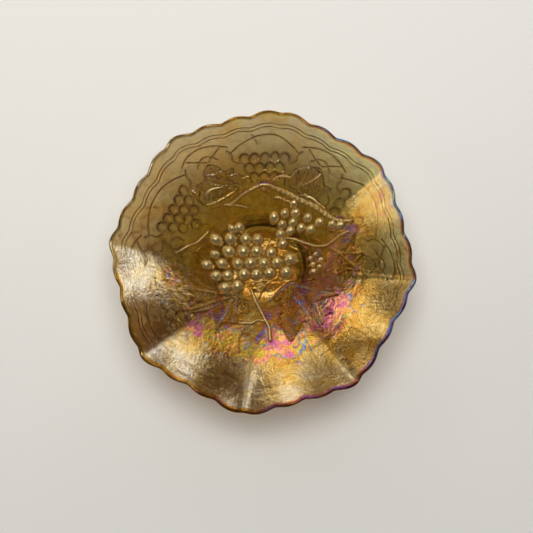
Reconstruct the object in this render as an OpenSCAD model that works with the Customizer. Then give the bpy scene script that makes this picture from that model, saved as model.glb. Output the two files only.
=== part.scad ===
// Ruffled carnival glass bowl on a ground collar base, pressed with grape
// bunches, vine leaves and a twig inside, and grapes, leaves and arches outside.
// Millimetres, +Z up. The origin is on the bowl's axis, where it stands.

/* [Bowl] */
// Mean diameter across the ruffled rim
bowl_d = 220; // [160:1:320]
// Height of the inner face at the rim, midway between crest and trough
rim_h = 61; // [40:1:100]
// Glass thickness of the flared wall where it leaves the collar
wall_t = 4.6; // [3:0.1:7]
// Glass thickness at the rim
rim_t = 3; // [2:0.1:6]
// Glass thickness in the middle of the well
well_t = 5; // [3:0.1:9]
// Radius of the flat floor inside
floor_r = 22; // [12:1:30]

/* [Collar base] */
// Outer diameter of the collar
collar_d = 76; // [60:1:100]
// Height of the collar below the well
collar_h = 4; // [2:0.1:8]
// Width of the collar's ring
collar_w = 6; // [4:0.1:10]
// Width of the cove where the wall springs from the collar
cove_w = 6; // [2:0.1:9]

/* [Ruffled rim] */
// How many ruffles go round the rim
ruffles = 8; // [6:1:12]
// How far a ruffle swings each way, square to the wall
ruffle_swing = 6; // [2:0.1:10]
// Radius where the ruffles start
ruffle_r = 48; // [40:1:75]
// How many small scallops the edge has
scallops = 30; // [18:6:48]
// How deep the small scallops are cut
scallop_depth = 2.6; // [1:0.1:5]
// Width of the rounded lip
lip_w = 1.4; // [0.6:0.1:2]

/* [Moulded relief] */
// Scale of the whole pattern, for a bowl of 220 mm
pattern = 1; // [0.8:0.05:1.1]
// Height of an inner grape as a share of its diameter
grape_rise = 0.4; // [0.2:0.05:0.5]
// Diameter of the flat grapes outside
outer_grape_d = 7.4; // [5:0.1:7.6]
// Height of the flat grapes outside
outer_grape_h = 1.4; // [0.6:0.1:2]
// Height of the leaves
leaf_h = 1.4; // [0.6:0.1:2.4]
// Width of the vine and the stalk
vine_w = 2.6; // [1.5:0.1:4]
// Width of the fine lines
line_w = 1.3; // [0.8:0.1:2]
// Height of the fine lines
line_h = 0.8; // [0.4:0.1:1.5]
// Gap between the two lines that follow the edge
line_gap = 2.1; // [1.8:0.1:4]
// Distance of the outer line from the edge
line_in = 8; // [5:0.1:14]

/* [Hidden] */
rim_r = bowl_d/2;
collar_r = collar_d/2;
floor_z = collar_h + well_t;
k = pattern*bowl_d/220;          // the pattern grows with the mould
join_r = collar_r - 1.4;         // where the well meets the flared wall
bend = 1.4;                      // how the wall's slope grows outwards
crease_a = -7;                   // direction of the first ruffle's trough
arch_gap = 2.4;                  // from the inner rim line to the crown of an arch
arch_r = rim_r - line_in - line_gap - arch_gap;
panels = 6;                      // the outside pattern repeats six times
panel_w = 360/panels;
panel_a = 29;                    // direction of the first outer bunch
sink = 0.25;                     // relief is rooted this deep in the wall
glass = [0.80, 0.57, 0.24];
pale = [0.88, 0.74, 0.42];
deep = [0.70, 0.42, 0.12];

// --- the bowl's surface: a is the direction, u the distance from the axis ---
function share(u) = max(0, (u - floor_r)/(rim_r - floor_r));
function height(u) = floor_z + (rim_h - floor_z)*pow(share(u), bend);
function slope(u) = atan(bend*(rim_h - floor_z)/(rim_r - floor_r)*pow(share(u), bend - 1));
function wave(a) = let (s = sin(ruffles/2*(a - crease_a)), e = 0.12)
    2*(sqrt(s*s + e*e) - e)/(sqrt(1 + e*e) - e) - 1;
function swing(a, u) =
    ruffle_swing*wave(a)*pow(max(0, (u - ruffle_r)/(rim_r - ruffle_r)), 1.6);
function edge_r(a) = rim_r
    + scallop_depth*(pow(abs(sin(scallops/2*(a + 1))), 0.8) - 0.6);
// a point d above the wall's inner face, measured square to the wall
function spot(a, u, d) = let (m = slope(u), q = swing(a, u) + d, r = u - q*sin(m))
    [r*cos(a), r*sin(a), height(u) + q*cos(m)];
function unit(v) = v/norm(v);
function square_to(a, u, d) = unit(cross(spot(a, u + 0.5, d) - spot(a, u - 0.5, d),
                                         spot(a + 0.5, u, d) - spot(a - 0.5, u, d)));
// the wall thins evenly towards the rim
function thick(u) = wall_t + (rim_t - wall_t)*(u - join_r)/(rim_r - join_r);
// side 1 is the inner face, side -1 the outer face
function base(u, side) = side > 0 ? 0 : -thick(u);
function normal_at(p, side) = let (u = norm(p))
    side*square_to(atan2(p[1], p[0]), u, base(u, side));
function face_pt(p, side, h) = let (u = norm(p))
    spot(atan2(p[1], p[0]), u, base(u, side)) + h*normal_at(p, side);
// a direction and a distance as a flat point
function at(a, r) = [r*cos(a), r*sin(a)];
// a point of an outer motif: t across, r out from the axis
function turned(p, a) = [p[1]*cos(a) - p[0]*sin(a), p[1]*sin(a) + p[0]*cos(a)];

// a smooth curve through points, n steps between each two
function soft(p, n) = let (m = len(p) - 1) [for (i = [0:m-1]) each
    let (b = p[i], c = p[i+1], f = i > 0 ? p[i-1] : b, g = i < m-1 ? p[i+2] : c)
    [for (j = [0:(i == m-1 ? n : n-1)]) let (t = j/n)
        0.5*(2*b + t*(c - f) + t*t*(2*f - 5*b + 4*c - g) + t*t*t*(3*b - 3*c + g - f))]];

// a rounded ridge along flat points, standing on one face of the wall
module ridge(path, side, w, h, closed = false) {
    n = len(path);
    core = [for (p = path) face_pt(p, side, 0)];
    up = [for (p = path) normal_at(p, side)];
    rings = [for (i = [0:n-1]) let (
            before = core[closed ? (i + n - 1) % n : max(0, i - 1)],
            after = core[closed ? (i + 1) % n : min(n - 1, i + 1)],
            b = unit(cross(up[i], after - before)))
        each [core[i] - b*w/2 - up[i]*sink, core[i] - b*w/4 + up[i]*h,
              core[i] + b*w/4 + up[i]*h, core[i] + b*w/2 - up[i]*sink]];
    last = closed ? n - 1 : n - 2;
    walls = [for (i = [0:last], j = [0:3]) let (
            p = 4*i, q = 4*((i + 1) % n), m = (j + 1) % 4)
        each [[p + j, p + m, q + m], [p + j, q + m, q + j]]];
    ends = closed ? [] : [[0, 2, 1], [0, 3, 2], [4*n-4, 4*n-3, 4*n-2], [4*n-4, 4*n-2, 4*n-1]];
    polyhedron(points = rings, faces = concat(walls, ends));
}

// a lobed leaf: outline goes round the middle, and its tips lie low
module leaf(middle, outline, side, h) {
    n = len(outline);
    half = [for (p = outline) middle + 0.55*(p - middle)];
    pts = concat([face_pt(middle, side, h), face_pt(middle, side, -sink)],
        [for (p = half) face_pt(p, side, 0.85*h)], [for (p = outline) face_pt(p, side, 0.3*h)],
        [for (p = half) face_pt(p, side, -sink)], [for (p = outline) face_pt(p, side, -sink)]);
    faces = [for (i = [0:n-1]) let (
            j = (i + 1) % n, a = 2 + i, b = 2 + j, c = a + n, d = b + n,
            e = a + 2*n, f = b + 2*n, g = a + 3*n, o = b + 3*n)
        each [[0, b, a], [a, b, d], [a, d, c], [c, d, o], [c, o, g],
              [g, o, f], [g, f, e], [e, f, 1]]];
    polyhedron(points = pts, faces = faces);
}

// one grape: a ball's cap of diameter d and height h on the wall's face
module grape(p, side, d, h) {
    n = normal_at(p, side);
    r = (d*d/4 + h*h)/(2*h);
    translate(face_pt(p, side, 0)) rotate([0, acos(n[2]), atan2(n[1], n[0])])
        intersection() {
            translate([0, 0, h - r]) sphere(r, $fn = 32);
            translate([-d, -d, -sink]) cube([2*d, 2*d, h + 2]);
        }
}

// --- the glass body ---
module collar_base() color(glass)
    rotate_extrude($fn = 180) polygon([[collar_r - collar_w - 0.4, collar_h],
        [collar_r - collar_w, 0.6], [collar_r - collar_w + 0.6, 0], [collar_r - 1.3, 0],
        [collar_r - 0.5, 0.8], [collar_r, collar_h]]);

module well() color(glass) {
    seat_z = height(join_r) - wall_t*cos(slope(join_r));
    // the cove runs from the wall's outer face down to the collar
    high = [collar_r + cove_w, seat_z + cove_w*tan(slope(join_r + cove_w)) + 2*sink];
    bow = [collar_r + 0.15*cove_w, collar_h + 0.45*(seat_z - collar_h)];
    rotate_extrude($fn = 180) polygon(concat([[0, collar_h], [0, floor_z]],
        [for (i = [0:4]) let (u = floor_r + i*(join_r - floor_r)/4) [u, height(u)]],
        [0.9*[collar_r, seat_z] + 0.1*[join_r, height(join_r)]], [for (i = [0:5]) let (t = i/5)
            (1 - t)*(1 - t)*high + 2*t*(1 - t)*bow + t*t*[collar_r, collar_h]]));
}

module ruffled_wall() color(glass) {
    steps = 120;   // round the axis
    rows = 8;      // up each face
    m = 2*rows + 3;
    pts = [for (i = [0:steps-1]) let (a = -1 + i*360/steps, top = edge_r(a) - lip_w) each concat(
        [for (j = [0:rows]) spot(a, join_r + (top - join_r)*j/rows, 0)],
        [spot(a, top + lip_w, -rim_t/2)],
        [for (j = [rows:-1:0]) let (u = join_r + (top - join_r)*j/rows) j > 0
            ? spot(a, u, -thick(u))
            : concat(at(a, collar_r), height(join_r) - wall_t*cos(slope(join_r)))])];
    polyhedron(points = pts, faces = [for (i = [0:steps-1], j = [0:m-1]) let (
            p = i*m, q = ((i + 1) % steps)*m, n = (j + 1) % m)
        each [[p + j, p + n, q + n], [p + j, q + n, q + j]]]);
}

// --- relief inside: flat points, X right and Y up across the bowl ---
main_grapes = [[-24.5, 29, 7], [-18, 30, 8], [-37, 20, 9], [-26, 21, 9], [-13.5, 21, 9],
    [-4, 21, 8.5], [-38, 8.5, 7], [-27, 11, 9.5], [-16, 11.5, 9.5], [-5.5, 11.5, 9],
    [7, 10.5, 8.5], [-44, 0, 8], [-32.5, 1.5, 8.5], [-20, 1.5, 9], [-10.5, 2, 9],
    [1, 2, 8.5], [11.5, 2.5, 8.5], [22, 5, 10], [-37, -9, 8], [-28, -8, 8], [-15, -7, 9],
    [-5.5, -7, 8.5], [5, -6, 8.5], [19, -5.5, 10], [-30, -18, 8.5], [-20, -17, 9.5],
    [16, 17.5, 7.5], [14, 25, 7.5], [15.5, 32.5, 7], [9, 38, 8]];
side_grapes = [[24.5, 48, 6], [17.5, 41, 6.5], [26, 41, 7], [35.5, 37, 7], [24, 34, 6.5],
    [22, 27.5, 7], [30.5, 29.5, 6.5], [38, 28, 7], [44.5, 33, 6.5], [54, 31, 5.5],
    [60.5, 30, 5.5]];
small_grapes = [[38, 5.5, 3.5], [42, 8.5, 3.5], [40, 0.5, 4], [46, 4, 4], [45, -1.5, 3.5],
    [40.5, -5, 4.5]];
module bunch(list) for (g = list) grape(k*[g[0], g[1]], 1, k*g[2], k*g[2]*grape_rise);
module main_grape_bunch() color(pale) bunch(main_grapes);
module side_grape_bunch() color(pale) bunch(side_grapes);
module small_grape_bunch() color(pale) bunch(small_grapes);

module vine() color(deep) {
    ridge(soft(k*[[-22, 50], [-6, 60], [1, 63], [8, 62], [16, 59], [24, 57], [33, 50], [39, 47],
                  [49, 40], [59, 36], [69, 35]], 2), 1, vine_w, leaf_h);
    ridge(soft(k*[[18, 22], [25, 21], [36, 17], [42, 15], [50, 15], [55, 18], [62, 23],
                  [67, 25]], 2), 1, vine_w, leaf_h);
    ridge(soft(k*[[-67, 8], [-57, 15], [-50, 18], [-43, 26]], 2), 1, 0.8*vine_w, line_h);
}
module stalk() color(deep) {
    ridge(soft(k*[[-4.5, -27], [-1, -36], [2, -44], [5, -50], [6, -60]], 2), 1, vine_w, leaf_h);
    ridge(soft(k*[[1.5, -46], [-5, -45], [-10, -47], [-19, -46]], 2), 1, 0.8*vine_w, leaf_h);
}
// a coil of one and a half turns, with a tail that runs away from it
module curl(c, r, tail) ridge(concat([for (i = [0:8]) c + r*(0.35 + 0.08*i)*[cos(60*i), sin(60*i)]],
    [for (p = tail) p]), 1, line_w, line_h);
module tendrils() color(deep) {
    curl(k*[-13.5, -53], 3.6*k, k*[[-18, -57], [-18.5, -62], [-18, -67]]);
    curl(k*[61, -19], 3.2*k, k*[[57, -24], [55, -28]]);
    curl(k*[52, -37], 3*k, k*[[48, -41], [46, -46]]);
}
module lower_left_leaf() color(glass)
    leaf(k*[-28, -30], k*[[-21, -22], [-35, -22], [-62, -20], [-50, -28], [-59, -37], [-40, -37],
        [-37, -53], [-30, -45], [-22, -48], [-19, -40], [-11, -39], [-14, -30]], 1, leaf_h);
module lower_right_leaf() color(glass)
    leaf(k*[26, -27], k*[[6, -27], [16, -34], [13, -46], [15, -54], [22, -61], [28, -51],
        [33, -44], [47, -51], [37, -34], [45, -28], [59, -24], [57, -18], [41, -10],
        [21, -14]], 1, leaf_h);
module upper_left_leaf() color(glass)
    leaf(k*[-31, 54], k*[[-45, 47], [-30, 46], [-12, 45], [-16, 56], [-17, 64], [-26, 62],
        [-29, 72], [-39, 66], [-38, 60], [-46, 56]], 1, leaf_h);
module right_leaf() color(glass)
    leaf(k*[62, 9], k*[[54, 4], [53, -4], [61, -9], [65, -4], [75, -6], [72, 1], [78, 7],
        [70, 13], [71, 23], [63, 25], [57, 20], [49, 15]], 1, leaf_h);
module upper_right_leaf() color(glass)
    leaf(k*[37, 67], k*[[33, 58], [42, 59], [51, 59], [45, 66], [46, 74], [38, 72], [33, 78],
        [31, 70], [23, 69], [28, 63]], 1, leaf_h);

// --- relief outside ---
module rim_lines() color(deep)
    for (i = [0, 1]) ridge([for (j = [0:119]) let (a = -1 + 3*j)
        at(a, rim_r - line_in - i*line_gap + 0.6*(edge_r(a) - rim_r))], -1, line_w, line_h,
        closed = true);

module outer_grape_bunches() color(pale)
    for (i = [0:panels-1], row = [0:3]) let (n = [5, 4, 3, 1][row]) for (j = [0:n-1])
        grape(k*turned([(j - (n - 1)/2)*7.9, 80 - 6.5*row], panel_a + panel_w*i), -1,
              k*outer_grape_d, k*outer_grape_h);

module outer_leaves() color(glass)
    for (i = [0:panels-1]) let (a = panel_a + panel_w*(i + 0.5)) leaf(k*turned([0, 70], a),
        [for (p = [[0, 61], [5, 58], [12, 62], [8, 67], [14, 76], [6, 77], [0, 85], [-6, 77],
                   [-14, 76], [-8, 67], [-12, 62], [-5, 58]]) k*turned([-p[0], p[1]], a)],
        -1, leaf_h);

module outer_arches() color(deep)
    for (i = [0:panels-1]) {
        ridge([for (j = [-6:6]) at(panel_a + panel_w*i + 3*j, arch_r - k*(2.2 + 9.5*(1 - cos(14*j))))],
              -1, line_w, line_h);
        ridge([for (j = [-3:3]) at(panel_a + panel_w*(i + 0.5) + 3.4*j,
                                   arch_r - 6.5*k*(1 - cos(25*j)))], -1, line_w, line_h);
    }

collar_base();
well();
ruffled_wall();
rim_lines();
main_grape_bunch();
side_grape_bunch();
small_grape_bunch();
vine();
stalk();
tendrils();
lower_left_leaf();
lower_right_leaf();
upper_left_leaf();
right_leaf();
upper_right_leaf();
outer_grape_bunches();
outer_leaves();
outer_arches();
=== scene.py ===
"""Ruffled carnival glass bowl, pressed with grapes and vine leaves inside and outside."""
import bpy, math
import numpy as np
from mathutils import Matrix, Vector


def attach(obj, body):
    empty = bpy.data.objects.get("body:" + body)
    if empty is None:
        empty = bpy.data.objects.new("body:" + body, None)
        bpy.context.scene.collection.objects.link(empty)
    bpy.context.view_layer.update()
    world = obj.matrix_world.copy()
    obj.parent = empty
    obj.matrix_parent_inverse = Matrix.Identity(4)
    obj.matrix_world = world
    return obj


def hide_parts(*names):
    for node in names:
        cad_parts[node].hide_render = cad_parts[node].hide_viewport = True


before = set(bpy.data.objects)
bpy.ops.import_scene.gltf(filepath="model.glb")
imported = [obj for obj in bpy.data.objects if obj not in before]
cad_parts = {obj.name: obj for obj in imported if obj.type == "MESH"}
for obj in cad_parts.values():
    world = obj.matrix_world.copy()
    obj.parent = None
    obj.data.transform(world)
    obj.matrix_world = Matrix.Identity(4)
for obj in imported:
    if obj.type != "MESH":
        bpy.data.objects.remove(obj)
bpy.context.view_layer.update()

# ---- the bowl's sizes in millimetres, as in part.scad; the swing of the ruffles and the depth of
# the scallops are a little less than there, so that the glass stays inside the CAD box ----
RIM_R, RIM_H = 110.0, 61.0
WALL_T, RIM_T, WELL_T = 4.6, 3.0, 5.0
FLOOR_R, BEND = 22.0, 1.4
COLLAR_R, COLLAR_H = 38.0, 4.0
JOIN_R = COLLAR_R - 1.4
RUFFLES, SWING, RUFFLE_R, CREASE = 8, 5.5, 48.0, -7.0
CREASE_SOFT, SWING_GROWTH = 0.12, 1.6
SCALLOPS, SCALLOP_D, SCALLOP_R, LIP = 30, 2.3, 78, 1.4
LINE_INSETS = (8.4, 10.6)
PANELS, PANEL_A = 6, 29.0
FLOOR_Z = COLLAR_H + WELL_T


def cosd(a):
    return np.cos(np.radians(a))


def sind(a):
    return np.sin(np.radians(a))


def smooth(t):
    """A soft step from 0 to 1."""
    t = np.clip(t, 0, 1)
    return t * t * (3 - 2 * t)


def share(u):
    """How far up the wall, from 0 at the floor's edge to 1 at the rim; u is the distance out."""
    return np.maximum(0, (u - FLOOR_R) / (RIM_R - FLOOR_R))


def height(u):
    return FLOOR_Z + (RIM_H - FLOOR_Z) * share(u) ** BEND


def slope(u):
    return np.arctan(BEND * (RIM_H - FLOOR_Z) / (RIM_R - FLOOR_R) * share(u) ** (BEND - 1))


def wave(a):
    """The ruffle round the bowl, from -1 in its sharp creases to 1 between them."""
    s, e = sind(RUFFLES / 2 * (a - CREASE)), CREASE_SOFT
    return 2 * (np.sqrt(s * s + e * e) - e) / (math.sqrt(1 + e * e) - e) - 1


def swing(a, u):
    """How far the ruffle moves the wall along its normal."""
    return SWING * wave(a) * np.maximum(0, (u - RUFFLE_R) / (RIM_R - RUFFLE_R)) ** SWING_GROWTH


def edge_r(a):
    """The scalloped edge's distance out."""
    s = np.sqrt(sind(SCALLOPS / 2 * (a + 1)) ** 2 + 0.05)
    return RIM_R + SCALLOP_D * (s - 0.62)


def thick(u):
    return WALL_T + (RIM_T - WALL_T) * (u - JOIN_R) / (RIM_R - JOIN_R)


def spot(a, u, d):
    """The point in direction a, u out along the inside surface, and d off it."""
    m = slope(u)
    q = swing(a, u) + d
    r = u - q * np.sin(m)
    return np.stack([r * cosd(a), r * sind(a), height(u) + q * np.cos(m)], -1)


def unit(v):
    return v / np.maximum(np.linalg.norm(v, axis=-1, keepdims=True), 1e-12)


def square_to(a, u, d):
    """The surface's normal, from points a small step apart."""
    e = 0.3
    return unit(np.cross(spot(a, u + e, d) - spot(a, np.maximum(u - e, 0.01), d),
                         spot(a + e, u, d) - spot(a - e, u, d)))


def lattice(x, y, seed):
    """Smooth value noise between -1 and 1, which repeats every 256 cells."""
    table = np.random.default_rng(seed).uniform(-1, 1, (256, 256))
    i, j = np.floor(x).astype(int), np.floor(y).astype(int)
    f, g = smooth(x - i), smooth(y - j)
    i, j, k, m = i % 256, j % 256, (i + 1) % 256, (j + 1) % 256
    return ((table[i, j] * (1 - f) + table[k, j] * f) * (1 - g)
            + (table[i, m] * (1 - f) + table[k, m] * f) * g)


# ---- moulded relief: a height over flat points, X right and Y up across the bowl ----
def soft(pts, n=6, closed=False):
    """A smooth curve through the points."""
    p = np.array(pts, float)
    q = np.vstack([p[-1:], p, p[:2]]) if closed else np.vstack([p[:1], p, p[-1:]])
    out = []
    for i in range(len(q) - 3):
        f, b, c, g = q[i:i + 4]
        for t in np.arange(n) / n:
            out.append(0.5 * (2 * b + t * (c - f) + t * t * (2 * f - 5 * b + 4 * c - g)
                              + t ** 3 * (3 * b - 3 * c + g - f)))
    out.append(q[1] if closed else p[-1])
    return np.array(out)


def turned(pts, a):
    """Points given as (across, out from the axis), set in direction a."""
    p = np.atleast_2d(np.array(pts, float))
    return np.stack([p[:, 1] * cosd(a) + p[:, 0] * sind(a),
                     p[:, 1] * sind(a) - p[:, 0] * cosd(a)], -1)


class Relief:
    """Heights h over flat points, and how much each is a crest with a painted highlight, has
    painted shade along a line, or is a fold.
    """

    SLIM = 1.45             # a ridge narrower than this gets one line of painted shade

    def __init__(self, x, y):
        self.x, self.y, self.h = x, y, np.zeros_like(x)
        self.crest, self.line, self.fold = np.zeros_like(x), np.zeros_like(x), np.zeros_like(x)

    def window(self, pts, m):
        """The points within m of the box round pts."""
        lo, hi = pts.min(0) - m, pts.max(0) + m
        return np.nonzero((self.x > lo[0]) & (self.x < hi[0])
                          & (self.y > lo[1]) & (self.y < hi[1]))[0]

    def to_line(self, i, pts):
        """Distance to a polyline, the length along it, and its whole length."""
        x, y = self.x[i], self.y[i]
        best, along, run = np.full(x.shape, 1e9), np.zeros_like(x), 0.0
        for (ax, ay), (bx, by) in zip(pts[:-1], pts[1:]):
            dx, dy = bx - ax, by - ay
            n = max(math.hypot(dx, dy), 1e-9)
            t = np.clip(((x - ax) * dx + (y - ay) * dy) / (n * n), 0, 1)
            d = np.hypot(x - ax - t * dx, y - ay - t * dy)
            near = d < best
            best, along = np.where(near, d, best), np.where(near, run + t * n, along)
            run += n
        return best, along, run

    def inside(self, i, pts):
        """Whether each point lies inside a closed outline."""
        x, y, odd = self.x[i], self.y[i], np.zeros(len(i), bool)
        for (ax, ay), (bx, by) in zip(pts[:-1], pts[1:]):
            if ay != by:
                odd ^= ((ay > y) != (by > y)) & (x < (bx - ax) * (y - ay) / (by - ay) + ax)
        return odd

    def lift(self, i, h):
        self.h[i] = np.maximum(self.h[i], h)

    # painted shade: how much darker brown the base colour is made along lines and flanks
    def paint_shade(self, i, v):
        self.line[i] = np.maximum(self.line[i], v)

    # painted highlight: how much paler the base colour is made on crests and grapes
    def paint_highlight(self, i, v):
        self.crest[i] = np.maximum(self.crest[i], v)

    def ridge(self, pts, w, h, twist=0.0, ends=0.0, blade=False):
        """A rounded ridge; twist makes it a rope, ends thins it towards its ends, and blade gives
        it the sharp fold's change of film. A narrow ridge gets one line of painted shade; a wider
        one gets painted shade along its sides and a painted highlight on its top, weaker on a
        blade."""
        pts = np.array(pts, float)
        i = self.window(pts, w)
        d, s, whole = self.to_line(i, pts)
        r = np.full(d.shape, w / 2)
        if ends:
            r = r * (1 - ends + ends * smooth(np.minimum(s, whole - s) / (0.3 * whole)))
        p = np.clip(1 - (d / r) ** 2, 0, 1) ** 0.6 * h * (r * 2 / w)
        if twist:
            p = p * (1 + 0.3 * np.sin(2 * math.pi * (s / twist + d / w)))
        self.lift(i, p)
        self.line[i] = np.where(d < r - 0.3, 0, self.line[i])
        if w < self.SLIM:
            self.paint_shade(i, np.exp(-(d / 0.75) ** 2))
        elif blade:
            self.fold[i] = np.maximum(self.fold[i], np.exp(-(d / (0.62 * r + 0.01)) ** 2))
            self.paint_shade(i, 0.8 * np.exp(-((d - r - 0.3) / 0.6) ** 2))
            self.paint_highlight(i, 0.25 * smooth((p / h - 0.5) / 0.4) * (d < r))
        else:
            self.paint_shade(i, np.exp(-((d - r - 0.2) / 0.6) ** 2))
            self.paint_highlight(i, 0.85 * smooth((p / h - 0.4) / 0.4) * (d < r))

    def ball(self, x, y, d, h, moat=0.35):
        """A grape: a cap of a sphere, h high, in a shallow ring groove. It is painted pale all
        over as a highlight, with a ring of painted shade round its edge.
        """
        i = self.window(np.array([[x, y]]), d / 2 + 1.5)
        p = np.hypot(self.x[i] - x, self.y[i] - y)
        r = (d * d / 4 + h * h) / (2 * h)
        cap = np.sqrt(np.maximum(r * r - p * p, 0)) - (r - h)
        self.h[i] = np.where(p < d / 2, np.maximum(self.h[i], cap),
                             self.h[i] - moat * np.exp(-((p - d / 2 - 0.3) / 0.45) ** 2))
        self.paint_highlight(i, smooth((d / 2 - p) / 0.6 + 0.5))
        self.line[i] = np.where(p < d / 2 - 0.3, 0, self.line[i])
        self.paint_shade(i, np.exp(-((p - d / 2 - 0.15) / 0.62) ** 2))

    def leaf(self, outline, ribs, h, veins=2.6, teeth=0.5, side=0.4):
        """A raised leaf with a rolled edge, ribs along its lobes and slanting side veins. Painted
        shade runs along its outline and lies lightly over the whole leaf; where it has ribs,
        painted shade fills the vein grooves and the ribs' sides, and the rib tops get a painted
        highlight.
        """
        pts = soft(outline, 5, closed=True)
        i = self.window(pts, 3)
        d, s, _ = self.to_line(i, pts)
        d = d + teeth * 0.5 * np.sin(2 * math.pi * s / 2.6)
        d = np.where(self.inside(i, pts), d, -d)
        best, along = np.full(d.shape, 1e9), np.zeros_like(d)
        for rib in ribs:
            e, t, _ = self.to_line(i, soft(rib, 4))
            near = e < best
            best, along = np.where(near, e, best), np.where(near, t, along)
        on = smooth(d / 0.7 + 0.3)
        p = h * (0.5 * on + 0.25 * np.exp(-((d - 0.8) / 0.5) ** 2))
        self.paint_shade(i, 0.75 * np.exp(-((d + 0.1) / 0.6) ** 2) + 0.22 * on)
        if ribs:
            tent = np.clip(d, 0, 9) / (np.clip(d, 0, 9) + best + 0.4)
            p = p + h * (0.35 * tent ** 1.5 + 0.45 * np.exp(-(best / 0.5) ** 2) * on)
            lines = np.abs((along - 0.9 * best) / veins % 1 - 0.5) * 2
            groove = np.exp(-(lines / 0.42) ** 2) * smooth((best - 0.6) / 1.0) * smooth(d / 1.5)
            p = p - side * h * groove
            self.paint_shade(i, 0.65 * groove + 0.75 * np.exp(-((best - 0.8) / 0.35) ** 2) * on)
            self.paint_highlight(i, 0.4 * np.exp(-(best / 0.45) ** 2) * on)
        else:
            p = p + 0.4 * h * on
        self.lift(i, p)

    def curl(self, c, r, tail, turns, start, w=1.3, h=0.8):
        """A coiled tendril with a tail."""
        t = np.linspace(0, 1, 40)
        a = start + 2 * math.pi * turns * t
        ring = np.array(c) + (r * (0.3 + 0.7 * t) * np.stack([np.cos(a), np.sin(a)])).T
        self.ridge(np.vstack([ring, np.array(tail, float)]), w, h)


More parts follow.
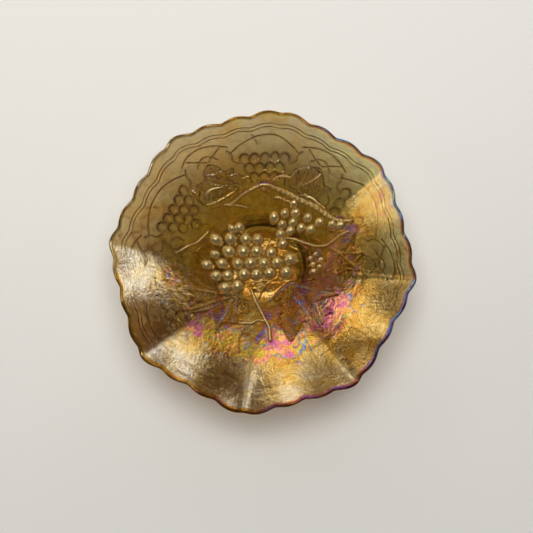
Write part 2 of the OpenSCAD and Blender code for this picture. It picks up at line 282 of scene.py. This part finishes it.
def inner_relief(f):
    """Draws the pattern inside the bowl, and returns the mould's ground texture: pebbled in the
    middle, and drawn out round the bowl towards the edge."""
    u, a = np.hypot(f.x, f.y), np.degrees(np.arctan2(f.y, f.x)) % 360
    out = smooth((u - 48) / 30)
    near = (1 - 0.8 * out) * (0.5 + 0.5 * smooth((u - 26) / 12))
    ground = (near * (0.11 * lattice(f.x / 5 + 40, f.y / 5 + 40, 1)
                      + 0.085 * lattice(f.x / 2.1, f.y / 2.1, 2)
                      + 0.045 * lattice(f.x / 1.1, f.y / 1.1, 4))
              + 0.012 * lattice(f.x / 1.1, f.y / 1.1, 4)
              + out * 0.045 * lattice(a * 256 / 360 / 8, u / 1.7, 7)
              + out * 0.09 * lattice(a * 256 / 360 / 8, u / 4.3, 8))
    # leaves
    f.leaf([(-20, -22), (-30, -21), (-45, -18), (-60, -19), (-52, -26), (-59, -36), (-46, -35),
            (-39, -39), (-37, -52), (-30, -46), (-21, -47), (-18, -39), (-11, -38), (-13, -29)],
           [[(-20, -24), (-38, -23), (-57, -20)], [(-21, -25), (-38, -30), (-56, -36)],
            [(-21, -25), (-29, -36), (-36, -51)], [(-20, -25), (-22, -36), (-23, -46)],
            [(-19, -25), (-15, -32), (-12, -37)]], 1.4)
    f.leaf([(8, -26), (15, -33), (12, -45), (16, -52), (22, -61), (28, -52), (33, -45), (41, -51),
            (47, -51), (38, -36), (45, -28), (59, -24), (57, -17), (44, -10), (33, -12),
            (21, -13)],
           [[(21, -15), (14, -20), (7, -27)], [(21, -15), (30, -16), (43, -20), (56, -21)],
            [(22, -16), (30, -25), (38, -38), (46, -50)],
            [(22, -16), (21, -30), (20, -45), (22, -59)]],
           1.5)
    f.leaf([(-43, 62), (-43, 68), (-38, 69), (-32, 72), (-27, 69), (-21, 71), (-16, 68), (-11, 69),
            (-9, 64), (-14, 59), (-24, 60), (-34, 60)],
           [[(-12, 61), (-26, 64), (-42, 66)], [(-22, 63), (-28, 67), (-32, 71)],
            [(-14, 61), (-16, 65), (-20, 70)]], 1.3)
    f.leaf([(-45, 50), (-44, 54), (-39.5, 57.5), (-33.5, 59.5), (-26.5, 60), (-21, 59.5),
            (-19.5, 56.5), (-23.5, 52.5), (-29, 48.5), (-36, 45), (-43, 44)],
           [[(-44, 46), (-36, 49), (-28, 54), (-21, 58)], [(-36, 49), (-40, 54)],
            [(-29, 53), (-33, 57)]],
           1.5, veins=2.2)
    f.ridge(soft([(-45, 51), (-43.5, 54.5), (-39, 57.8), (-33, 59.8), (-27, 60.2)]), 1.6, 1.1,
            ends=0.4)
    f.leaf([(50, 15), (55, 7), (52, -3), (58, -9), (65, -5), (75, -6), (73, 1), (79, 8), (71, 12),
            (72, 23), (64, 25), (57, 20)],
           [[(60, 9), (68, 16), (71, 22)], [(60, 9), (69, 8), (77, 8)],
            [(60, 9), (67, 2), (74, -5)], [(60, 9), (57, 1), (57, -7)], [(60, 9), (54, 13)],
            [(60, 9), (61, 17), (64, 23)]], 1.2)
    f.leaf([(20, 65), (24, 70), (28.5, 73.5), (35.5, 75), (42, 73), (46, 68), (48, 60),
            (43.5, 57.5), (38, 60), (34, 57.5), (27, 58.5), (22, 60.5)],
           [[(27, 60), (33, 66), (36, 74)], [(27, 60), (38, 64), (45, 68)],
            [(27, 60), (40, 60), (47, 60)], [(27, 60), (26, 66), (25, 70)]], 1.3)
    # sharp folds on the two lower leaves, where the film changes colour
    for pts, w, h in (
            ([(4.5, -29.5), (10.7, -23.9), (17, -18.6), (23, -14.4), (28.1, -17.1), (35.6, -18.9),
              (42.3, -20.8), (54.5, -23.3)], 2.6, 1.5),
            ([(23.8, -24.8), (32, -34.3), (38.3, -44.4)], 2.2, 1.3),
            ([(40.4, -28.5), (41, -37.8), (44.7, -46.9)], 1.8, 1.1),
            ([(-23.2, -26.4), (-29.6, -40.3), (-34.4, -47.1), (-36.8, -53.1)], 2.4, 1.5),
            ([(-19.4, -24.8), (-21.3, -37.7), (-25, -46.2)], 2, 1.2),
            ([(-27.4, -25.7), (-38.9, -33.6), (-47.7, -36.1), (-56.3, -37.8)], 2, 1.2)):
        f.ridge(soft(pts), w, h, ends=0.5, blade=True)
    # vine, stalk and twigs: points, width, height, length of one twist, how much the ends thin
    for pts, w, h, twist, ends in (
            ([(-26, 47), (-19.5, 52.5), (-15, 56), (-10, 58.8), (-5, 61), (-1, 62.5), (3, 62.5),
              (7, 61.5)], 2.4, 1.7, 0, 0),
            ([(5, 62), (10.5, 59.7), (16, 57.5), (21.5, 55), (26.5, 52.5), (32, 49.5), (37.5, 47),
              (43, 44), (47, 41), (51.5, 37.5), (57, 34.5), (62, 33.2), (69, 33)],
             3.2, 1.7, 4.2, 0),
            ([(26.5, 54.5), (33, 53.8), (39, 51.2), (44.5, 46.5), (49, 43)], 1.6, 1.0, 0, 0.4),
            ([(32, 56), (35, 52.3), (34.5, 48)], 1.5, 0.9, 0, 0.4),
            ([(7, 64), (10.5, 67), (15, 68.3), (21, 67.2)], 2.2, 1.2, 2.6, 0.3),
            ([(10, 53), (14, 52.8), (18.5, 50.5), (23.5, 49)], 1.8, 1.1, 4.0, 0),
            ([(-30, 47), (-23.7, 47.4), (-18, 46.8), (-12, 45.6)], 1.7, 1.0, 2.8, 0),
            ([(18, 22), (25, 21), (36, 17), (42, 15), (50, 15), (55, 18), (62, 23), (67, 25)],
             2.2, 1.4, 0, 0),
            ([(37, 17), (41, 20.5), (46, 17), (50, 15)], 1.4, 0.9, 0, 0),
            ([(-67, 8), (-57, 15), (-52, 17), (-43, 26)], 1.8, 1.1, 0, 0.4),
            ([(-54, 16.5), (-48, 17), (-42, 18)], 1.4, 0.9, 0, 0.4),
            ([(-52, 9.5), (-49, 13), (-42, 14)], 1.4, 0.9, 0, 0.4),
            ([(-60, 10.5), (-52, 9.5), (-45, 8)], 1.4, 0.9, 0, 0.4),
            ([(-52, 9.5), (-48, 5), (-43, 5.5)], 1.4, 0.9, 0, 0.4),
            ([(-9, -20), (-6, -28), (-2, -36), (2, -44), (5, -50), (6, -60)], 2.6, 1.6, 0, 0),
            ([(2, -45), (-4, -44), (-9, -46.5), (-19, -46)], 2.0, 1.3, 0, 0.3),
            ([(-3, -27), (-1, -22), (3, -16)], 1.4, 0.9, 0, 0),
            ([(41, -28), (44, -37), (47, -46)], 1.8, 1.1, 0, 0.5)):
        f.ridge(soft(pts), w, h, twist, ends)
    # tendrils: middle, size, tail, turns and the angle that the coil starts at
    for c, r, tail, turns, start in (
            ((-13.5, -53), 3.8, [(-18, -57), (-18.5, -62), (-18, -68)], 1.55, -2.2),
            ((61, -19), 3.3, [(57, -23), (55, -28)], 1.5, 0.6),
            ((-51, 54), 3.2, [(-50, 49), (-46, 46)], 1.4, 1.2),
            ((51.5, -37), 3.1, [(48, -41), (46, -46)], 1.6, 0.4)):
        f.curl(c, r, tail, turns, start)
    # smooth oval bud beside the wavy stem
    f.leaf([(21, 20), (30, 18), (36, 13), (34, 10), (27, 12), (20, 16)], [], 0.9, side=0, teeth=0)
    # grapes, as middle and width: the main bunch, then the side bunch with the small ones
    for x, y, d in ((-24.5, 29, 7), (-18.5, 30, 8), (-37, 20, 9.4), (-25.5, 21, 9.6),
                    (-13.5, 21, 9.6), (-4, 21, 8.8), (-38, 8.5, 7.4), (-27, 11, 10),
                    (-15.5, 11.5, 10), (-5, 11.5, 9.4), (7, 10.5, 8.8), (-44, 0, 8.2),
                    (-32.5, 1.5, 8.8), (-20, 1.5, 9.4), (-9.8, 2, 9.6), (1, 2, 9.2),
                    (11.5, 2.5, 9.2), (22, 5, 10.4), (-37, -8.5, 8.6), (-28, -8, 8.6),
                    (-15, -7, 9.8), (-5, -7, 9.2), (5.5, -6, 9.2), (19, -5.5, 10), (-30, -18, 9),
                    (-20, -16.5, 9.8), (16, 17.5, 8), (14, 25, 8), (15.5, 32.5, 7.5),
                    (9, 38, 8.4)):
        f.ball(x, y, 1.05 * d, 0.45 * d)
    for x, y, d in ((24.5, 48, 6.5), (17.5, 41, 7), (26, 41, 7.4), (35.5, 37, 7.4), (24, 34, 7),
                    (22, 27.5, 7.4), (30.5, 29.5, 7), (38, 28, 7.4), (44.5, 33, 7), (54, 31, 6),
                    (60.5, 30, 6), (38, 5.5, 3.8), (42, 8.5, 3.8), (40, 0.5, 4.2), (46, 4, 4.2),
                    (45, -1.5, 3.8), (40.5, -5, 4.6), (27, 3.5, 3)):
        f.ball(x, y, 1.06 * d, 0.43 * d)
    return ground


def outer_relief(f, a, u):
    """Draws the pattern outside the bowl, and returns its ground texture."""
    scallop = edge_r(a) - RIM_R
    for inset in LINE_INSETS:
        d = np.abs(u - (RIM_R - inset + 0.8 * scallop))
        f.h = np.maximum(f.h, 0.55 * np.clip(1 - (d / 0.6) ** 2, 0, 1) ** 0.6)
    for i in range(PANELS):
        b = PANEL_A + 360 / PANELS * i      # the bunch's direction
        c = b + 180 / PANELS                # the leaf's direction
        for row, n in enumerate((5, 4, 3, 1)):
            for j in range(n):
                (x, y), = turned([((j - (n - 1) / 2) * 7.9, 80 - 6.5 * row)], b)
                f.ball(x, y, 7.5, 1.6, moat=0.3)
        t = np.linspace(-18, 18, 25)
        r = 95.3 - 9.5 * (1 - cosd(14 * t / 3))
        f.ridge(np.stack([r * cosd(b + t), r * sind(b + t)], -1), 1.3, 0.8)
        for top, wide, h in ((97.0, 11.5, 0.7), (90.5, 5.5, 0.6)):
            t = np.linspace(-wide, wide, 17)
            r = top - 6.5 * (1 - cosd(75 * t / wide))
            f.ridge(np.stack([r * cosd(c + t), r * sind(c + t)], -1), 1.2, h)
        f.leaf(turned([(0, 61), (5, 58), (13, 61), (10, 67), (16, 75), (8, 76), (6, 81), (0, 85),
                       (-6, 81), (-8, 76), (-16, 75), (-10, 67), (-13, 61), (-5, 58)], c),
               [turned(p, c) for p in ([(0, 58), (0, 71), (0, 84)], [(0, 60), (7, 67), (14, 74)],
                                       [(0, 60), (-7, 67), (-14, 74)], [(0, 60), (11, 62)],
                                       [(0, 60), (-11, 62)])], 1.1, veins=2.4, side=0.5)
        for p in ([(14, 92.5), (7, 89.5), (1.5, 86.5)], [(-14, 92), (-7, 89), (-0.5, 86.5)],
                  [(-17, 88), (-19, 84), (-18, 80), (-21, 76)], [(-16, 70), (-19, 66), (-17, 61)],
                  [(17, 88), (19, 84), (18, 80), (21, 76)], [(16, 70), (19, 66), (17, 61)]):
            f.ridge(soft(turned(p, c)), 1.2, 0.7)
        f.ridge(soft(turned([(-10, 96), (-7, 92), (-6, 90)], b)), 1.1, 0.6, ends=0.4)
        f.ridge(soft(turned([(2, 62), (1, 57), (5, 53)], b)), 1.3, 0.8, ends=0.4)
    return 0.05 * lattice(f.x / 7 + 90, f.y / 7 + 90, 3)


# ---- the glass body: one closed skin, row by row from the floor over the lip to the foot ----
TURN = 1440
angle = np.arange(TURN) * 360 / TURN
inner_v = np.concatenate([np.linspace(0.5, 80, 250), np.linspace(80.4, RIM_R - LIP, 66)])
outer_v = np.concatenate([np.linspace(RIM_R - LIP, 103, 10), np.linspace(102.7, 96.5, 21),
                          np.linspace(95.8, 56, 110), np.linspace(55.4, 43.4, 21)])


def skin(v, side):
    """The inside (side 1) or outside (-1) of the wall on rows v: its points, and for the material
    how much each is a crest with a painted highlight, how much painted shade it has on steep
    flanks, along the relief's lines and next to the lip, and how much it is a fold."""
    a, w = np.meshgrid(angle, v)
    u = w + (edge_r(a) - RIM_R) * smooth((w - SCALLOP_R) / (RIM_R - LIP - SCALLOP_R))
    f = Relief((u * cosd(a)).ravel(), (u * sind(a)).ravel())
    away = smooth((RIM_R - LIP - w) / 6)        # the relief fades out at the lip
    if side > 0:
        ground, base = inner_relief(f), 0 * u
    else:
        ground, base = outer_relief(f, a.ravel(), u.ravel()), -thick(u)
    streak = (lattice(a / 360 * 512, u / 14, 5) * 0.008
              + lattice(a / 360 * 256, u / 22, 6) * 0.014)
    h = (f.h + ground).reshape(u.shape) + streak * smooth((u - 50) / 30)
    h = h * away
    # painted shade: the relief's steep flanks and drawn lines, and the glass next to the lip, are
    # darkened
    steep = np.hypot(np.gradient(h, axis=0) / np.gradient(u, axis=0),
                     (np.roll(h, -1, 1) - np.roll(h, 1, 1)) / (2 * np.radians(360 / TURN) * u))
    steep = np.maximum(smooth((steep - 0.14) / 0.7), smooth((w - RIM_R + LIP + 0.9) / 0.9))
    skin_painted_shade_dark_lip = np.maximum(0.7 * steep.ravel(), f.line * away.ravel())
    return spot(a, u, base) + side * h[..., None] * square_to(a, u, base), f.crest, skin_painted_shade_dark_lip, f.fold


inner, inner_crest, inner_painted_shade_dark_lip, inner_fold = skin(inner_v, 1)
outer, _, outer_painted_shade_dark_lip, _ = skin(outer_v, -1)
lip = []
top = edge_r(angle) - LIP
for phi in np.linspace(0, math.pi, 9)[1:-1]:
    u = top + LIP * math.sin(phi)
    lip.append(spot(angle, u, thick(top) * (math.cos(phi) - 1) / 2))
lip = np.array(lip)
# the foot's profile, as distance out and height: cove, collar, ground ring, recess
foot = [(42.9, 10.8), (42.1, 9.8), (41.3, 8.8), (40.6, 7.9), (39.9, 7.0), (39.3, 6.2), (38.8, 5.4),
        (38.4, 4.7), (38.1, 4.0), (37.95, 3.2), (37.7, 1.9), (37.5, 0.95), (37.38, 0.6),
        (37.2, 0.32), (36.9, 0.1), (36.5, 0.0), (35.4, 0.0), (34.3, 0.0), (33.6, 0.1), (33.0, 0.4),
        (32.5, 0.85), (32.0, 1.5), (31.5, 2.2), (31.0, 2.85), (30.4, 3.4), (29.6, 3.8),
        (28.6, 4.0), (24.0, 4.0), (16.0, 4.0), (8.0, 4.0), (2.0, 4.0)]
foot = np.array([np.stack([r * cosd(angle), r * sind(angle), 0 * angle + z], -1) for r, z in foot])
rows = np.concatenate([inner, lip, outer, foot])
verts = np.vstack([[[0, 0, FLOOR_Z]], rows.reshape(-1, 3), [[0, 0, COLLAR_H]]]) * 0.001
n, m = len(rows), TURN
k = np.arange(m)


def ring(r, step=0):
    """The vertex numbers of row r, or of their neighbours a step round."""
    return 1 + r * m + (k + step) % m


quads = np.concatenate([np.stack([ring(r), ring(r + 1), ring(r + 1, 1), ring(r, 1)], -1)
                        for r in range(n - 1)])
fans = np.concatenate([np.stack([0 * k, ring(0), ring(0, 1)], -1),
                       np.stack([0 * k + len(verts) - 1, ring(n - 1, 1), ring(n - 1)], -1)])
me = bpy.data.meshes.new("carnival_bowl")
me.vertices.add(len(verts))
me.vertices.foreach_set("co", verts.astype(np.float32).ravel())
loops = np.concatenate([quads.ravel(), fans.ravel()])
me.loops.add(len(loops))
me.loops.foreach_set("vertex_index", loops.astype(np.int32))
starts = np.concatenate([np.arange(len(quads)) * 4, len(quads) * 4 + np.arange(len(fans)) * 3])
me.polygons.add(len(starts))
me.polygons.foreach_set("loop_start", starts.astype(np.int32))
# a flat map for each face of the bowl: the inside in one half, the outside in the other
split = len(inner) + len(lip) // 2
is_in = np.concatenate([np.repeat(np.arange(n - 1) < split, m * 4),
                        np.repeat([True, False], m * 3)])
MAP_WIDTH = 0.244           # metres of bowl across one half of the map
flat = verts[loops, :2] / MAP_WIDTH
uv = np.stack([0.5 + flat[:, 0] * 0.49 + np.where(is_in, -0.25, 0.25),
               0.5 + flat[:, 1] * 0.98], -1)
layer = me.uv_layers.new(name="OFBake")
layer.uv.foreach_set("vector", uv.astype(np.float32).ravel())
# what the material asks of each point: how thick the film is, how much painted highlight it has as
# a crest, how much painted shade it has (the lip is painted dark all round), and whether it is
# frosted or a fold
in_end = 1 + len(inner) * m
lip_end = in_end + len(lip) * m
out_end = lip_end + len(outer) * m
LIP_FILM, LIP_ROWS, OUTSIDE_FILM = 1.5, 3, 0.25
point = {name: np.zeros(len(verts)) for name in ("film", "crest", "painted_shade_dark_lip", "frost", "fold")}
point["film"][:lip_end] = 1
point["film"][in_end - LIP_ROWS * m:lip_end] = LIP_FILM
point["film"][lip_end:out_end] = OUTSIDE_FILM
point["crest"][1:in_end] = inner_crest
point["painted_shade_dark_lip"][1:in_end] = inner_painted_shade_dark_lip
# the lip is painted dark brown all round
point["painted_shade_dark_lip"][in_end:lip_end] = 1
point["painted_shade_dark_lip"][lip_end:out_end] = outer_painted_shade_dark_lip
point["frost"][out_end:] = 1
point["fold"][1:in_end] = inner_fold
for name, value in point.items():
    data = me.attributes.new(name, "FLOAT", "POINT").data
    data.foreach_set("value", value.astype(np.float32))
me.update(calc_edges=True)
me.validate()
me.shade_smooth()
bowl = bpy.data.objects.new("carnival_bowl", me)
bpy.context.scene.collection.objects.link(bowl)


# ---- glass with its iridescent film ----
class Nodes:
    """A node material, built from its Principled shader backwards."""

    def __init__(self, name):
        self.mat = bpy.data.materials.new(name)
        self.mat.use_nodes = True
        self.t = self.mat.node_tree
        self.bsdf = self.t.nodes["Principled BSDF"]

    def put(self, value, socket):
        if isinstance(value, bpy.types.NodeSocket):
            self.t.links.new(value, socket)
        else:
            socket.default_value = value

    def feed(self, name, value):
        """Puts a value or a link into one of the shader's sockets."""
        self.put(value, self.bsdf.inputs[name])

    def add(self, kind, out=0, props=(), **sockets):
        """A node's output; a socket is named, or i0, i1 and so on by its place."""
        n = self.t.nodes.new("ShaderNode" + kind)
        for key, v in dict(props).items():
            setattr(n, key, v)
        for key, v in sockets.items():
            self.put(v, n.inputs[int(key[1:])] if key[0] == "i" and key[1:].isdigit()
                     else n.inputs[key])
        return n.outputs[out]

    def math(self, op, a, b, clamp=False):
        return self.add("Math", props={"operation": op, "use_clamp": clamp}, i0=a, i1=b)

    def times(self, a, b, clamp=False):
        return self.math("MULTIPLY", a, b, clamp)

    def plus(self, a, b):
        return self.math("ADD", a, b)

    def minus(self, a, b, clamp=False):
        return self.math("SUBTRACT", a, b, clamp)

    def about(self, noise, width):
        """A noise made to swing about zero."""
        return self.times(self.minus(noise, 0.5), width)

    def fade(self, a, b, t):
        """Number a where t is 0, b where it is 1."""
        return self.plus(self.times(a, self.minus(1.0, t)), self.times(b, t))

    def attribute(self, name):
        return self.add("Attribute", out=2, props={"attribute_name": name})

    def ramp(self, fac, *stops):
        """A soft colour ramp; a stop is a place with a colour, or with a number for a grey."""
        n = self.t.nodes.new("ShaderNodeValToRGB")
        n.color_ramp.interpolation = "EASE"
        e = n.color_ramp.elements
        while len(e) > 1:
            e.remove(e[-1])
        for i, (at, c) in enumerate(stops):
            stop = e.new(at) if i else e[0]
            stop.position = at
            stop.color = (*(c if isinstance(c, tuple) else (c, c, c)), 1)
        self.put(fac, n.inputs[0])
        return n.outputs[0]

    def noise(self, where, scale, detail, rough, warp=0.0):
        return self.add("TexNoise", Vector=where, Scale=scale, Detail=detail, Roughness=rough,
                        Distortion=warp)

    def mix(self, fac, a, colour):
        """Colour a, with a share of another colour."""
        n = self.t.nodes.new("ShaderNodeMix")
        n.data_type = "RGBA"
        self.put(fac, n.inputs[0])
        self.put(a, n.inputs[6])
        self.put((*colour, 1), n.inputs[7])
        return n.outputs[2]


g = Nodes("marigold_carnival_glass")
where = g.add("TexCoord", out=3)
flat_where = g.add("VectorMath", props={"operation": "MULTIPLY"}, i0=where, i1=(1, 1, 0))
# how far out a point is, from 0 on the axis to about 1 at the edge
reach = g.add("VectorMath", out=1, props={"operation": "LENGTH"}, i0=flat_where)
reach = g.times(reach, 1 / 0.116)
along_x = g.add("SeparateXYZ", Vector=where)
along_y = g.add("SeparateXYZ", out=1, Vector=where)
coated, crest, painted_shade_dark_lip, frost, folded = (
    g.attribute(name) for name in ("film", "crest", "painted_shade_dark_lip", "frost", "fold"))
# soft shares of the bowl by side: 1 in its lower part, in its upper part, in all but the upper
# part, and in a narrow part at the upper right
low = g.times(g.minus(0.02, along_y), 14.0, True)
north = g.times(g.minus(along_y, 0.005), 14.0, True)
south = g.times(g.minus(0.045, along_y), 12.0, True)
east = g.add("VectorMath", out=1, props={"operation": "DOT_PRODUCT"}, i0=where, i1=(0.88, 0.47, 0))
east = g.times(g.minus(east, 0.072), 45.0, True)
cloud = g.noise(where, 16, 3, 0.55, 0.6)
fine = g.noise(where, 55, 3, 0.6, 0.4)
spots = g.noise(where, 30, 3, 0.6, 1.0)
speck = g.noise(where, 150, 2, 0.6, 0.5)
ripple = g.noise(where, 130, 3, 0.6, 1.2)

# the glass's colour: amber, deeper towards the middle and darker brown in the lower part of the
# bowl, with flecks and orange patches; painted shade darkens flanks, lines and the lip, and a
# painted highlight pales the crests and grapes
amber = g.ramp(g.plus(reach, g.about(cloud, 0.35)),
               (0.0, (0.66, 0.36, 0.035)), (0.46, (0.83, 0.52, 0.055)), (0.60, (0.95, 0.75, 0.22)),
               (0.8, (0.95, 0.78, 0.38)), (1.0, (0.96, 0.81, 0.48)))
patch = g.ramp(g.noise(where, 24, 2, 0.5, 0.8), (0.48, 0.0), (0.66, 0.6))
dark_fleck = g.times(g.ramp(ripple, (0.49, 0.0), (0.64, 0.8)), g.minus(1.0, g.times(north, 0.65)))
pale_fleck = g.ramp(ripple, (0.32, 0.8), (0.48, 0.0))
for much, colour in ((g.times(fine, 0.3), (0.76, 0.38, 0.05)),
                     (patch, (0.95, 0.55, 0.09)),
                     (g.times(low, 0.9), (0.48, 0.22, 0.012)),
                     (dark_fleck, (0.56, 0.27, 0.02)),
                     (pale_fleck, (0.98, 0.74, 0.22)),
                     # painted shade, less on crests, then the crests' and grapes' painted
                     # highlight
                     (g.times(painted_shade_dark_lip, g.minus(0.96, g.times(crest, 0.6))), (0.32, 0.12, 0.012)),
                     (g.times(crest, 0.8), (1.0, 0.86, 0.50))):
    amber = g.mix(much, amber, colour)
g.feed("Base Color", amber)

# the film in nanometres: thin and gold to silver, with patches near 200 nm low in the bowl that
# turn yellow, pink and blue, and its own thickness on folds and crests; a ramp's 1 is RAMP_NM
RAMP_NM, THICK_NM, FOLD_NM, CREST_NM = 100.0, 203.0, 166.0, 79.0
thin = g.times(g.ramp(reach, (0.0, 0.86), (0.34, 0.90), (0.46, 0.92), (0.60, 0.88), (0.72, 0.80),
                      (0.84, 0.75), (1.0, 0.70)), RAMP_NM)
thin = g.plus(thin, g.times(along_x, 130.0))
thin = g.plus(thin, g.times(east, g.plus(8.0, g.about(speck, 90.0))))
thin = g.plus(thin, g.about(spots, 60.0))
thin = g.times(thin, g.minus(1.0, g.times(north, g.minus(0.18, g.times(east, 0.18)))))
blob = g.times(g.ramp(g.noise(where, 48, 3, 0.6, 1.2), (0.50, 0.0), (0.66, 1.0)),
               g.ramp(reach, (0.26, 0.0), (0.40, 0.8), (0.60, 1.0), (0.72, 0.0)))
thin = g.plus(thin, g.times(blob, 42.0))
thick_film = g.plus(g.plus(THICK_NM, g.about(spots, 90.0)), g.about(speck, 60.0))
zone = g.ramp(reach, (0.0, 0.0), (0.26, 0.1), (0.36, 0.45), (0.50, 0.85), (0.62, 0.9),
              (0.70, 0.62), (0.78, 0.25), (0.88, 0.0))
zone = g.times(zone, g.plus(0.45, g.times(south, 0.55)))
zone = g.plus(zone, g.about(g.noise(where, 38, 3, 0.6, 1.5), 1.7))
zone = g.plus(zone, g.about(speck, 0.3))
zone = g.ramp(zone, (0.72, 0.0), (0.82, 1.0))
film = g.fade(g.fade(g.fade(thin, thick_film, zone), FOLD_NM, folded), CREST_NM, crest)
g.feed("Thin Film Thickness", g.times(film, coated))
g.feed("Thin Film IOR", 2.4)
g.feed("IOR", 1.5)
# crests and grapes let less light through, so that their painted highlight colour shows
g.feed("Transmission Weight", g.minus(1.0, g.times(crest, 0.45)))
rough = g.plus(g.plus(0.04, g.times(g.times(fine, cloud), 0.16)), g.times(crest, 0.15))
g.feed("Roughness", g.plus(rough, g.times(frost, 0.4)))
silver = g.plus(g.times(g.minus(cloud, 0.35, True), 0.4), g.times(crest, 0.5))
g.feed("Metallic", g.times(silver, coated))
g.feed("Normal", g.add("Bump", Strength=1.0, Distance=0.0002, Height=g.noise(where, 520, 3, 0.65)))
me.materials.append(g.mat)
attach(bowl, "root")
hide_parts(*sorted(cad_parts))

# ---- floor, light and camera ----
floor_mesh = bpy.data.meshes.new("floor")
FAR = 4     # metres from the bowl to the floor's edge
floor_mesh.from_pydata([(-FAR, -FAR, 0), (FAR, -FAR, 0), (FAR, FAR, 0), (-FAR, FAR, 0)], [],
                       [(0, 1, 2, 3)])
floor = bpy.data.objects.new("floor", floor_mesh)
bpy.context.scene.collection.objects.link(floor)
pale = Nodes("pale_floor")
pale.feed("Base Color", (0.80, 0.79, 0.76, 1))
pale.feed("Roughness", 0.8)
floor_mesh.materials.append(pale.mat)


WHITE, WARM, WARMER = (1, 0.985, 0.96), (1, 0.97, 0.90), (1, 0.93, 0.80)
LAMP_AIM_Z = 0.04


def lamp(name, turn, rise, far, size, radiance, colour=WHITE, mirrored=True):
    """A softbox at a direction and a height angle from the bowl, facing it."""
    d = bpy.data.lights.new(name, "AREA")
    d.shape, d.size, d.size_y = "RECTANGLE", size[0], size[1]
    d.energy, d.color = radiance * math.pi * size[0] * size[1], colour
    o = bpy.data.objects.new(name, d)
    t, e = math.radians(turn), math.radians(rise)
    at = Vector((math.cos(t) * math.cos(e), math.sin(t) * math.cos(e), math.sin(e))) * far
    o.location = at + Vector((0, 0, LAMP_AIM_Z))
    o.rotation_euler = (-at).to_track_quat("-Z", "Y").to_euler()
    o.visible_camera, o.visible_glossy = False, mirrored
    bpy.context.scene.collection.objects.link(o)


# low softboxes behind and beside the bowl make its bright panels, the keys light the grapes, and
# the fill, which is not mirrored, lights the floor that shows through the glass
for row in (("back", 107.5, 16, 1.25, (0.20, 0.60), 2.1),
            ("back_dim", 97, 18, 1.25, (0.26, 0.42), 1.0),
            ("back_low", 117, 6, 1.25, (0.26, 0.19), 2.2),
            ("back_left", 145.5, 15, 1.25, (0.33, 0.38), 2.4, WARM),
            ("back_right", 74, 15, 1.25, (0.28, 0.42), 2.2),
            ("side_right", 31, 15, 1.25, (0.36, 0.33), 2.2),
            ("side_left", 176, 20, 1.25, (0.42, 0.62), 1.3, WARMER),
            ("key_left", 118, 71, 1.3, (0.44, 0.34), 3.3),
            ("key_right", 58, 71, 1.3, (0.28, 0.3), 3.2),
            ("panel", 98, 35, 1.6, (2.6, 0.42), 0.55),
            ("strip", 98, 52, 1.8, (2.0, 0.25), 0.7)):
    lamp(*row)
lamp("fill", 90, 80, 1.9, (1.5, 1.5), 3.1, mirrored=False)
world = bpy.data.worlds.new("room")
world.use_nodes = True
world.node_tree.nodes["Background"].inputs[0].default_value = (0.93, 0.94, 0.96, 1)
world.node_tree.nodes["Background"].inputs[1].default_value = 0.045
bpy.context.scene.world = world

cam = bpy.data.cameras.new("camera")
camera = bpy.data.objects.new("camera", cam)
bpy.context.scene.collection.objects.link(camera)
cam.lens, cam.sensor_width, cam.clip_start = 57.4, 36.0, 0.01
RISE, DISTANCE = 85.5, 0.640    # the camera's height angle in degrees, and its distance in metres
aim = Vector((0.003, -0.004, 0.050))
back = Vector((0, -math.cos(math.radians(RISE)), math.sin(math.radians(RISE))))
camera.location = aim + back * DISTANCE
camera.rotation_euler = (-back).to_track_quat("-Z", "Y").to_euler()
bpy.context.scene.camera = camera
bpy.context.scene.view_settings.view_transform = "Standard"
bpy.context.scene.view_settings.look = "Medium High Contrast"
